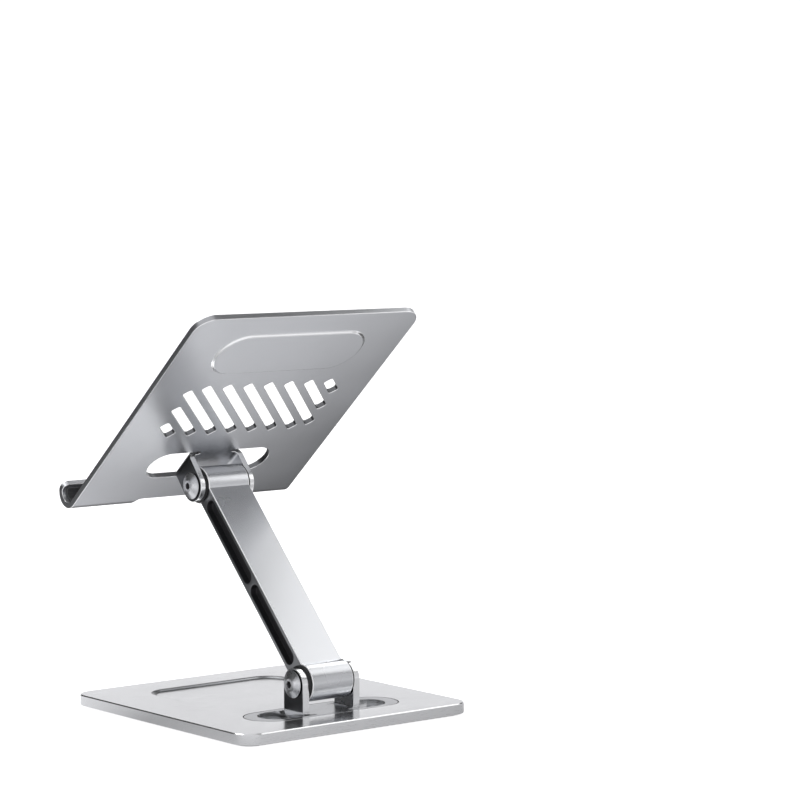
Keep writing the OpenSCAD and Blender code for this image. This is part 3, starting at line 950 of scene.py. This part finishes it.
def area_light(name, where, target, size, power):
    data = bpy.data.lights.new(name, "AREA")
    data.shape = "RECTANGLE"
    data.size, data.size_y = size
    data.energy = power
    obj = bpy.data.objects.new(name, data)
    obj.location = where
    obj.rotation_mode = "QUATERNION"
    obj.rotation_quaternion = (Vector(target) - Vector(where)).to_track_quat("-Z", "Y")
    obj.visible_camera = False
    bpy.context.scene.collection.objects.link(obj)


def grey_stops(ramp, stops):
    """Sets a colour ramp's stops to these (place, grey) pairs, a touch towards blue."""
    e = ramp.elements
    for k, (place, tone) in enumerate(stops):
        stop = e[k] if k < 2 else e.new(place)
        stop.position, stop.color = place, (tone, tone, tone * 1.02, 1)


def card_material(name, tones, across):
    """Plain light whose grey follows tones, (distance, grey) along across."""
    mat = bpy.data.materials.new(name)
    make, link = node_maker(mat)
    coord = make("ShaderNodeTexCoord")
    along = make("ShaderNodeVectorMath", operation="DOT_PRODUCT")
    along.inputs[1].default_value = across
    link(coord, "Object", along, 0)
    low, high = tones[0][0], tones[-1][0]
    place = make("ShaderNodeMapRange")
    place.inputs["From Min"].default_value = low
    place.inputs["From Max"].default_value = high
    link(along, "Value", place, "Value")
    ramp = make("ShaderNodeValToRGB")
    link(place, 0, ramp, "Fac")
    grey_stops(ramp.color_ramp, [((d - low) / (high - low), tone) for d, tone in tones])
    glow = make("ShaderNodeEmission")
    link(ramp, "Color", glow, "Color")
    out = make("ShaderNodeOutputMaterial")
    link(glow, "Emission", out, "Surface")
    return mat


def card(name, centre, look_at, size, tones, across=(1, 0, 0)):
    """A grey card that only shows in reflections, as a studio flag does."""
    bm = bmesh.new()
    bmesh.ops.create_grid(bm, x_segments=2, y_segments=2, size=0.5)
    bmesh.ops.scale(bm, vec=(*size, 1), verts=bm.verts)
    turn = (Vector(look_at) - Vector(centre)).to_track_quat("Z", "Y").to_matrix().to_4x4()
    bm.transform(Matrix.Translation(centre) @ turn)
    obj = linked(name, bm)
    obj.data.materials.append(card_material(name, tones, across))
    for ray in ("camera", "diffuse", "transmission", "volume_scatter", "shadow"):
        setattr(obj, f"visible_{ray}", False)


def sky():
    """Studio light from all round: pale low down, dark above on the -X side, grey above on the +X side."""
    world = bpy.data.worlds.new("studio")
    bpy.context.scene.world = world
    make, link = node_maker(world)
    coord = make("ShaderNodeTexCoord")
    split = make("ShaderNodeSeparateXYZ")
    link(coord, "Generated", split, 0)
    dark = make("ShaderNodeValToRGB")
    link(split, "Z", dark, 0)
    grey_stops(dark.color_ramp, [(0.0, 1.12), (0.14, 1.0), (0.34, 0.22), (0.5, 0.06), (0.86, 0.08),
                                 (1.0, 0.4)])
    light = make("ShaderNodeValToRGB")
    link(split, "Z", light, 0)
    grey_stops(light.color_ramp, [(0.0, 1.12), (0.2, 1.0), (0.5, 0.7), (0.8, 0.5), (1.0, 0.7)])
    side = make("ShaderNodeMapRange")
    side.inputs["From Min"].default_value = -0.44
    side.inputs["From Max"].default_value = -0.15
    link(split, "X", side, "Value")
    both_tones = make("ShaderNodeMix", data_type="RGBA")
    link(side, 0, both_tones, MIX_FACTOR)
    link(dark, 0, both_tones, MIX_A)
    link(light, 0, both_tones, MIX_B)
    back = make("ShaderNodeBackground", Strength=1.03)
    link(both_tones, MIX_COLOR, back, 0)
    out = make("ShaderNodeOutputWorld")
    link(back, 0, out, 0)


def lights():
    """Soft lights, and the cards that shape what the metal mirrors."""
    area_light("top", (0.15, -0.75, 1.4), (0, 0, 0.1), (1.4, 1.0), 9)
    area_light("arm_glow", (-0.33, 0.17, 0.38), (0, 0.03, 0.05), (0.34, 0.26), 0.36)
    area_light("base_glow", (-0.80, -0.36, 0.95), (0, -0.03, 0), (0.42, 0.4), 1.5)
    card("floor_card", (0, 0, 0.0004), (0, 0, 1), (5, 5),
         [(-0.6, 0.1), (-0.165, 0.12), (-0.085, 1.1), (-0.04, 1.0), (0.03, 0.45), (0.12, 0.6), (0.3, 1.0),
          (0.6, 1.0)], (0.5, 0.87, 0))
    card("back_card", (-0.75, 1.0, 0.25), (0, 0, 0.1), (1.2, 0.9), [(-1, 0.62), (1, 0.62)])
    card("side_card", (0.62, -0.85, 0.3), (0, 0, 0.1), (2.2, 1.4), [(-1, 0.03), (1, 0.03)])


def camera():
    """A long lens behind the stand on its right, a little above it, which puts the stand low and left."""
    data = bpy.data.cameras.new("camera")
    data.sensor_width = 36
    data.lens = 131.345
    data.clip_start, data.clip_end = 0.05, 40
    obj = bpy.data.objects.new("camera", data)
    obj.location = (0.99885, 1.36234, 0.31079)
    obj.rotation_euler = [math.radians(a) for a in (85.609, 0.2042, 141.1452)]
    bpy.context.scene.collection.objects.link(obj)
    bpy.context.scene.camera = obj


camera()
floor_piece()
sky()
lights()
base_pieces()
hinge_pieces()
arm_piece()
holder_pieces()
bracket_screws()
bpy.context.scene.view_settings.view_transform = "Standard"
